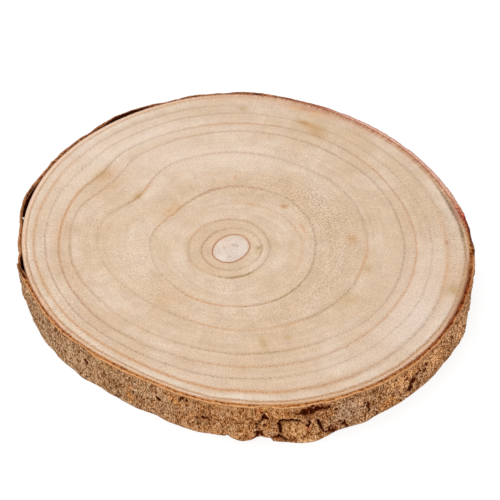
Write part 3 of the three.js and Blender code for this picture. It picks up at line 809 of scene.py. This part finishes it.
def make_wood():
    angle = np.arange(WOOD_COLUMNS) / WOOD_COLUMNS * TURN
    edge = around(WOOD_RADII, angle)
    top = np.linspace(0, 1, WOOD_TOP_ROWS + 1)[1:]
    under = np.linspace(0, 1, WOOD_UNDER_ROWS + 1)[:0:-1]
    side = np.ones(WOOD_SIDE_ROWS)
    shares = np.concatenate([top, side, under])[:, None]
    heights = np.concatenate([
        np.ones_like(top), np.linspace(1, 0, WOOD_SIDE_ROWS + 2)[1:-1], np.zeros_like(under),
    ])[:, None] * THICKNESS
    rows = len(shares)
    angles = np.broadcast_to(angle, (rows, WOOD_COLUMNS))
    radius = shares * edge
    ring = ring_coordinate(angle, radius)

    pith = MEAN_RADII[0]
    on_top = (np.arange(rows) < WOOD_TOP_ROWS)[:, None]
    sunken = PITH_DEPTH * (1 - smoothstep(ring, pith - PITH_SLOPE, pith))
    heights = heights - sunken * on_top

    points = np.concatenate([
        to_points(angles, radius, heights),
        to_points(0, 0, THICKNESS - PITH_DEPTH),
        to_points(0, 0, 0),
        splinter_points(),
    ])
    top_pole, under_pole = rows * WOOD_COLUMNS, rows * WOOD_COLUMNS + 1
    faces = [face[::-1] for face in ring_faces(rows, WOOD_COLUMNS, False)]
    last = (rows - 1) * WOOD_COLUMNS
    for column in range(WOOD_COLUMNS):
        after = (column + 1) % WOOD_COLUMNS
        faces.append((top_pole, column, after))
        faces.append((under_pole, last + after, last + column))
    faces += [tuple(under_pole + 1 + corner for corner in face) for face in SPLINTER_FACES]
    piece = make_piece("wood_end_grain", points, faces, wood_material(), "wood_disc")

    spoke = np.stack([*circle(angles), radius], -1)
    pore = PORES_ELSEWHERE + sum(
        strength * spot_share(angle_from(angles, at), radius - middle, half, width)
        for at, middle, half, width, strength in PORES
    )
    pore = pore * smoothstep(ring, pith - PORES_FADE, pith + PORES_FADE)
    reach = np.maximum(around(FRINGE, angle), FRINGE_LEAST)
    fringe = np.clip(1 - (edge - radius) / reach, 0, 1) * smoothstep(reach, *FRINGE_SHOWS)
    last_ring = MEAN_RADII[-2]
    pale = share_around(PALE_EDGE, angle) * smoothstep(ring, last_ring, last_ring + PALE_FADE)
    plain = len(points) - angles.size
    for name, values in (
        ("ring", ring), ("spoke", spoke), ("ink", ink_values(angle, ring)),
        ("stain", stain_values(angle_from, angles, radius, STAINS)),
        ("pore", pore), ("fringe", fringe), ("pale", pale),
    ):
        values = values.reshape(angles.size, -1)
        add_values(piece, name, np.concatenate([values, np.zeros((plain, values.shape[1]))]))


# Bark
def bark_inner(angle, height):
    share = lerp(LIFT_LEFT_AT_BOTTOM, 1, height / THICKNESS)
    return around(WOOD_RADII, angle) + BARK_CLEARANCE + bumps_at(angle, LIFTS) * share


def flake(angle, height):
    """The loose flake at the front, which curls outwards at its foot."""
    lip = np.minimum(height / FLAKE["lip_height"], 1)
    left = lerp(FLAKE["lip_left"], FLAKE["left"], lip)
    edge = smoothstep(angle - left, 0, FLAKE_EDGE["fade"])
    rise = smoothstep(angle, left, FLAKE["crest"])
    fall = bump(np.maximum(angle - FLAKE["crest"], 0), FLAKE["right"] - FLAKE["crest"])
    across = edge * fall * lerp(FLAKE_EDGE["share"], 1, rise)
    return FLAKE["out"] * across * np.maximum(1 - height / FLAKE["top"], 0)


def crack_share(angle, height):
    """How deep each point lies in a crack, from 0 to 1."""
    deepest = np.zeros(angle.shape)
    ragged, solid, soft = CRACK_EDGE
    ragged = ragged * bark_noise(angle, height, *CRACK_CELLS)
    for crack in CRACKS:
        for (start, low, narrow), (end, high, wide) in zip(crack[:-1], crack[1:]):
            arc = np.radians(around(WOOD_RADII, np.array(start)))
            across = angle_from(angle, start) * arc
            run = np.array([(end - start) * arc, high - low])
            share = np.clip((across * run[0] + (height - low) * run[1]) / (run @ run), 0, 1)
            far = np.hypot(across - share * run[0], height - low - share * run[1]) + ragged
            half = lerp(narrow, wide, share) / 2
            deepest = np.maximum(deepest, 1 - smoothstep(far, half * solid, half + soft))
    return deepest


def dark_share(angle, height):
    """Worn patches broken up into pits, and loose pits, from 0 to 1."""
    patch = np.zeros(angle.shape)
    rng = np.random.default_rng(SEED)
    ranges = ((0, TURN), (PIT_EDGES[0], THICKNESS - PIT_EDGES[1]), *PIT_SIZES)
    pits = [[rng.uniform(*limits) for limits in ranges] for _ in range(LOOSE_PITS)]
    for at, middle, half, tall, strength in (*DARK_PATCHES, *pits):
        patch += strength * spot_share(arc_from(angle, at), height - middle, half, tall)
    broken = bark_noise(angle, height, *BREAKS["cells"])
    return smoothstep(patch * (BREAKS["even"] + BREAKS["uneven"] * broken), *BREAKS["shows"])


def scale_values(angle, height):
    """Grooves between the bark's scales, from 0 to 1, and a value of each scale from -1 to 1."""
    cells, cell_height = SCALE_CELLS
    bend, stray = SCALES["bend"], SCALES["stray"]
    wide = np.radians(TURN / cells) * MEAN_RADII[-1]
    across = angle / TURN * cells + bend * bark_noise(angle, height, *SCALE_BENDS[0])
    up = height / cell_height + bend * bark_noise(angle, height + SHIFTS["height"], *SCALE_BENDS[1])
    column = np.floor(across)
    row = np.floor(up)
    nearest = np.full(angle.shape, np.inf)
    second = np.full(angle.shape, np.inf)
    value = np.zeros(angle.shape)
    for step in (-1, 0, 1):
        for level in (-1, 0, 1):
            cell = np.mod(column + step, cells)
            middle = column + step + 0.5 + stray * cell_value(cell, row + level)
            centre = row + level + 0.5 + stray * cell_value(cell + SHIFTS["centre"], row + level)
            far = np.hypot((across - middle) * wide, (up - centre) * cell_height)
            own = cell_value(cell + SHIFTS["value"], row + level + SHIFTS["level"])
            second = np.where(far < nearest, nearest, np.minimum(second, far))
            value = np.where(far < nearest, own, value)
            nearest = np.minimum(nearest, far)
    return 1 - smoothstep(second - nearest, *SCALES["edges"]), value


def make_bark():
    angle = np.arange(BARK_COLUMNS) / BARK_COLUMNS * TURN
    # One upright section: underside outwards, outer face upwards, top inwards, inner face downwards
    deep = np.concatenate([
        np.linspace(0, 1, BARK_UNDER_ROWS + 1)[:-1], np.ones(BARK_OUTER_ROWS),
        np.linspace(1, 0, BARK_TOP_ROWS + 1), np.zeros(len(BARK_INNER_HEIGHTS)),
    ])[:, None]
    tall = np.concatenate([
        np.zeros(BARK_UNDER_ROWS), np.linspace(0, 1, BARK_OUTER_ROWS + 1)[:-1],
        np.ones(BARK_TOP_ROWS + 1), BARK_INNER_HEIGHTS,
    ])[:, None]
    rows = len(deep)
    angles = np.broadcast_to(angle, (rows, BARK_COLUMNS))
    deeps = np.broadcast_to(deep, angles.shape)
    on_top = tall == 1
    outside = (deep == 1) & (tall < 1)
    behind = (deep == 0) & (tall < 1)

    # Heights, with the frayed and torn top edge, the chips, and the splits and fibres of the cut face
    fray = FRAY["depth"] * np.abs(bark_noise(angle, 0 * angle, FRAY["cells"], THICKNESS))
    tear = sum(depth * plateau(angle, at, half, TEAR_STEEPNESS) for at, half, depth in TEARS)
    bottom = bumps_at(angle, CHIPS)
    height = lerp(bottom, THICKNESS - fray - tear, tall)
    split = bumps_at(angle, SPLITS)
    height = height - on_top * split * bump(deep - SPLIT_MIDDLE, SPLIT_HALF)
    fibre = bark_noise(angles, deeps * TOP_FIBRES["across"], *TOP_FIBRES["cells"])
    height = height - on_top * TOP_FIBRES["depth"] * np.abs(fibre)

    # Thickness, with the relief of the outer face
    cracks = crack_share(angles, height)
    dark = dark_share(angles, height)
    from_top = THICKNESS - height
    inside = smoothstep(height, *RELIEF_FADES[0]) * smoothstep(from_top, *RELIEF_FADES[1])
    coarse, fine = (
        sum(out * bark_noise(angles, height, cells, cell) for cells, cell, out in part)
        for part in (RELIEF[:2], RELIEF[2:])
    )
    bare = plateau(angle, **BARE_BARK)
    relief = coarse * (1 - BARE_SMOOTHNESS * bare) + inside * fine
    for at, half, middle, half_height, out in SWELLINGS:
        relief = relief + out * bump(angle_from(angles, at), half) * bump(height - middle, half_height)
    groove, scale = scale_values(angles, height)
    scaly = share_around(SCALINESS, angle)
    relief = relief + inside * scaly * (SCALES["lift"] * scale - SCALES["groove"] * groove)
    relief = relief + flake(angles, height) - CRACK_DEPTH * cracks - DARK_DEPTH * dark
    for (out, reach), far in zip(ROUNDING, (height - bottom, from_top)):
        relief = relief - around(out, angle) * (1 - smoothstep(far, 0, reach))
    lift = bumps_at(angle, LIFTS)
    thin = 1 - THINNING_BY_LIFT * np.minimum(lift / THINNEST_GAP, 1)
    thickness = np.maximum(around(BARK_THICKNESSES, angle) * thin + relief, LEAST_BARK)
    radius = bark_inner(angles, height) + deep * thickness

    points = to_points(angles, radius, height)
    faces = ring_faces(rows, BARK_COLUMNS, True)
    piece = make_piece("bark_fibres", points, faces, bark_material(), "bark_ring")

    # Values for the material
    layer = lerp(deep, np.abs(deep - TURNED_PLACE), plateau(angle, **TURNED_LAYERS))
    half, more = FLAKE_FIBRES
    upright = around(UPRIGHT, angle) + more * bump(angle_from(angle, FLAKE["crest"]), half)
    # Painted shade and shadow: in cracks and pits, on the inner face behind lifted bark, and in the top's
    # splits
    shadow = np.where(outside, np.maximum(cracks, dark), behind * np.minimum(lift / DARKEST_GAP, 1))
    split_shadow = bump(deep - SPLIT_MIDDLE, SPLIT_SHADOW[0]) * np.minimum(split / SPLIT_SHADOW[1], 1)
    for name, values in (
        ("depth", layer), ("dark", np.maximum(shadow, on_top * split_shadow)), ("warm", around(WARMTH, angle)),
        ("bare", bare), ("band", share_around(DARK_BAND, angle)), ("face", np.where(outside, 0.0, 1.0)),
        ("tone", scaly * scale), ("groove", scaly * groove), ("rust", share_around(RUST, angle)),
        ("rough", around(COARSENESS, angle)), ("upright", np.clip(upright, 0, 1)),
    ):
        add_values(piece, name, np.broadcast_to(values, angles.shape).reshape(-1, 1))
    add_values(piece, "stain", stain_values(arc_from, angles, height, BARK_STAINS_AND_PAINTED_LIGHT))
    add_values(piece, "edge", stain_values(arc_from, angles, deeps, EDGE_STAINS))
    x, y = circle(angles)
    along = np.stack([MEAN_RADII[-1] * x, MEAN_RADII[-1] * y, deep * thickness], -1)
    add_values(piece, "along", along.reshape(-1, 3))


# Stage
def make_floor():
    shader = Shader("floor_white")
    shade = shader.ramp(shader.noise(shader.place, 0.01), *zip((0.0, 1.0), FLOOR["greys"]))
    shader.fill(shader.surface, {"Emission Color": 0xFFFFFF, "Emission Strength": FLOOR["glow"]})
    mesh = bpy.data.meshes.new("floor")
    far, level = FLOOR["half"], FLOOR["level"]
    corners = [(-far, -far, level), (far, -far, level), (far, far, level), (-far, far, level)]
    mesh.from_pydata(corners, [], [(0, 1, 2, 3)])
    mesh.materials.append(shader.finish(shade, 0.9, 0.1))
    floor = add_object("floor", mesh)


def make_lights():
    world = bpy.data.worlds.new("studio")
    bpy.context.scene.world = world
    world.use_nodes = True
    background = world.node_tree.nodes["Background"]
    background.inputs["Color"].default_value = SKY["colour"]
    background.inputs["Strength"].default_value = SKY["strength"]
    for name, (place, size, power) in LAMPS.items():
        data = bpy.data.lights.new(name, "AREA")
        data.size = size
        data.energy = power
        lamp = add_object(name, data)
        lamp.location = place
        lamp.rotation_euler = (-Vector(place)).to_track_quat("-Z", "Y").to_euler()


def make_camera():
    data = bpy.data.cameras.new("camera")
    data.sensor_width = SENSOR_WIDTH
    data.lens = SENSOR_WIDTH * FOCAL_PIXELS / PICTURE_PIXELS
    camera = add_object("camera", data)
    tilt = math.radians(CAMERA_ELEVATION)
    aim = Vector((*(PITH + np.array(AIM_FROM_PITH)), THICKNESS))
    back = Vector((0, -math.cos(tilt), math.sin(tilt))) * CAMERA_DISTANCE
    camera.location = (aim + back) * MM
    camera.rotation_euler = (math.pi / 2 - tilt, 0, 0)
    bpy.context.scene.camera = camera


make_camera()
make_wood()
make_bark()
make_floor()
make_lights()
bpy.context.scene.view_settings.view_transform = "Standard"
